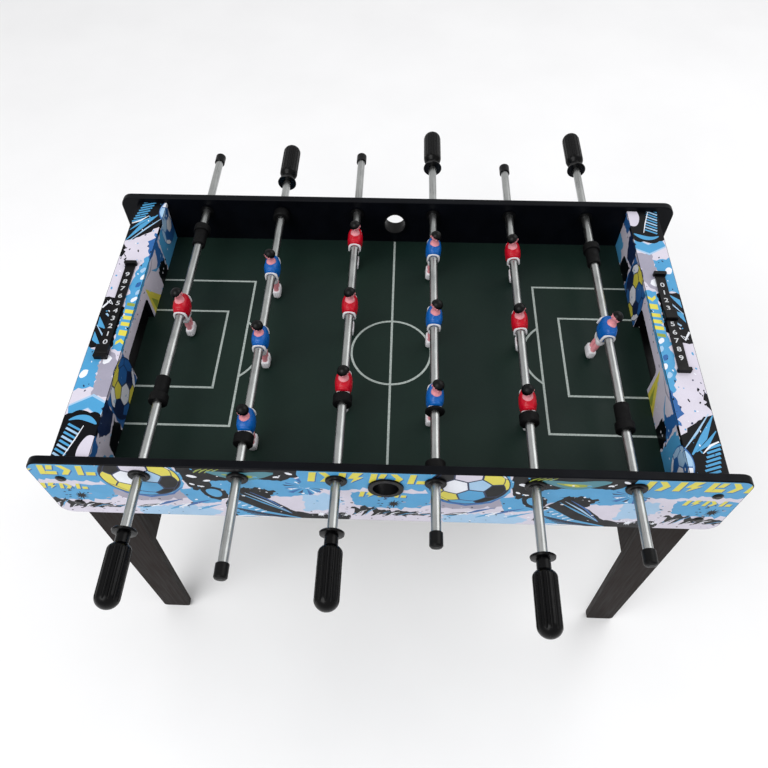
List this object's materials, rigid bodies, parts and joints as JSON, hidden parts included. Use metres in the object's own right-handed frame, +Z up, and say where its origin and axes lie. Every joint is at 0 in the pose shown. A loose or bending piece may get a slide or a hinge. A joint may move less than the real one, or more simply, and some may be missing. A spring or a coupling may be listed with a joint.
{
  "type": "football table",
  "caption": "Six-rod football table on board legs: printed cabinet, sliding and spinning rods with men, goals with ball trays, ball entries and sliding score counters.",
  "frame": {"origin": "on the floor, under the middle of the overall footprint with the handles as they stand", "axes": "+X along the table from the left goal to the right goal, +Y from the front long panel to the back one, +Z up"},
  "size_m": [0.914, 0.9004, 0.6149],
  "materials": {
    "printed_board": "fibreboard with a printed satin foil",
    "black_board": "fibreboard with a black wood-grain foil",
    "green_field": "hardboard with a smooth dark green print and pale lines",
    "black_plastic": "moulded, satin",
    "handle_plastic": "moulded, semi-gloss",
    "liner_plastic": "self-lubricating nylon",
    "black_rubber": "soft moulded rubber",
    "steel_tube": "satin chrome plate",
    "zinc_steel": "zinc plated",
    "red_player": "moulded and painted",
    "blue_player": "moulded and painted"
  },
  "bodies": {
    "cabinet": {"front_side_panel": "printed_board", "back_side_panel": "printed_board", "playing_field": "green_field", "ball_entry_cups": "black_plastic", "rod_bushings": "black_plastic", "wall_bumper_rings": "black_rubber", "leg_aprons": "black_board", "score_strips": "black_plastic", "side_panel_screws": "black_plastic", "leg_bolts": "zinc_steel", "left_end_panel": "printed_board", "left_goal_wall": "printed_board", "left_top_shelf": "printed_board", "left_goal_box": "black_plastic", "front_left_leg": "black_board", "back_left_leg": "black_board", "right_end_panel": "printed_board", "right_goal_wall": "printed_board", "right_top_shelf": "printed_board", "right_goal_box": "black_plastic", "front_right_leg": "black_board", "back_right_leg": "black_board"},
    "left_score_slider": {"left_score_slider": "black_plastic"},
    "right_score_slider": {"right_score_slider": "black_plastic"},
    "rod_1_bearings": {"rod_1_liners": "liner_plastic"},
    "rod_1": {"rod_1_tube": "steel_tube", "rod_1_handle": "handle_plastic", "rod_1_end_cap": "black_plastic", "rod_1_bumpers": "black_rubber", "rod_1_players": "red_player"},
    "rod_2_bearings": {"rod_2_liners": "liner_plastic"},
    "rod_2": {"rod_2_tube": "steel_tube", "rod_2_handle": "handle_plastic", "rod_2_end_cap": "black_plastic", "rod_2_bumpers": "black_rubber", "rod_2_players": "blue_player"},
    "rod_3_bearings": {"rod_3_liners": "liner_plastic"},
    "rod_3": {"rod_3_tube": "steel_tube", "rod_3_handle": "handle_plastic", "rod_3_end_cap": "black_plastic", "rod_3_bumpers": "black_rubber", "rod_3_players": "red_player"},
    "rod_4_bearings": {"rod_4_liners": "liner_plastic"},
    "rod_4": {"rod_4_tube": "steel_tube", "rod_4_handle": "handle_plastic", "rod_4_end_cap": "black_plastic", "rod_4_bumpers": "black_rubber", "rod_4_players": "blue_player"},
    "rod_5_bearings": {"rod_5_liners": "liner_plastic"},
    "rod_5": {"rod_5_tube": "steel_tube", "rod_5_handle": "handle_plastic", "rod_5_end_cap": "black_plastic", "rod_5_bumpers": "black_rubber", "rod_5_players": "red_player"},
    "rod_6_bearings": {"rod_6_liners": "liner_plastic"},
    "rod_6": {"rod_6_tube": "steel_tube", "rod_6_handle": "handle_plastic", "rod_6_end_cap": "black_plastic", "rod_6_bumpers": "black_rubber", "rod_6_players": "blue_player"}
  },
  "joints": [
    {"name": "rod_1_spin", "type": "hinge", "parent": "cabinet", "child": "rod_1_bearings", "pos_m": [-0.315, 0, 0.5756], "axis": [0, 1, 0], "continuous": true},
    {"name": "rod_1_slide", "type": "slide", "parent": "rod_1_bearings", "child": "rod_1", "axis": [0, 1, 0], "range_m": [-0.0942, 0.0372]},
    {"name": "rod_2_spin", "type": "hinge", "parent": "cabinet", "child": "rod_2_bearings", "pos_m": [-0.189, 0, 0.5756], "axis": [0, 1, 0], "continuous": true},
    {"name": "rod_2_slide", "type": "slide", "parent": "rod_2_bearings", "child": "rod_2", "axis": [0, 1, 0], "range_m": [-0.0322, 0.0927]},
    {"name": "rod_3_spin", "type": "hinge", "parent": "cabinet", "child": "rod_3_bearings", "pos_m": [-0.063, 0, 0.5756], "axis": [0, 1, 0], "continuous": true},
    {"name": "rod_3_slide", "type": "slide", "parent": "rod_3_bearings", "child": "rod_3", "axis": [0, 1, 0], "range_m": [-0.0987, 0.0412]},
    {"name": "rod_4_spin", "type": "hinge", "parent": "cabinet", "child": "rod_4_bearings", "pos_m": [0.063, 0, 0.5756], "axis": [0, 1, 0], "continuous": true},
    {"name": "rod_4_slide", "type": "slide", "parent": "rod_4_bearings", "child": "rod_4", "axis": [0, 1, 0], "range_m": [-0.0747, 0.0612]},
    {"name": "rod_5_spin", "type": "hinge", "parent": "cabinet", "child": "rod_5_bearings", "pos_m": [0.189, 0, 0.5756], "axis": [0, 1, 0], "continuous": true},
    {"name": "rod_5_slide", "type": "slide", "parent": "rod_5_bearings", "child": "rod_5", "axis": [0, 1, 0], "range_m": [-0.0752, 0.0647]},
    {"name": "rod_6_spin", "type": "hinge", "parent": "cabinet", "child": "rod_6_bearings", "pos_m": [0.315, 0, 0.5756], "axis": [0, 1, 0], "continuous": true},
    {"name": "rod_6_slide", "type": "slide", "parent": "rod_6_bearings", "child": "rod_6", "axis": [0, 1, 0], "range_m": [-0.0677, 0.0637]},
    {"name": "left_score_slide", "type": "slide", "parent": "cabinet", "child": "left_score_slider", "axis": [0, 1, 0], "range_m": [0, 0.157]},
    {"name": "right_score_slide", "type": "slide", "parent": "cabinet", "child": "right_score_slider", "axis": [0, -1, 0], "range_m": [-0.0705, 0.0865]}
  ]
}
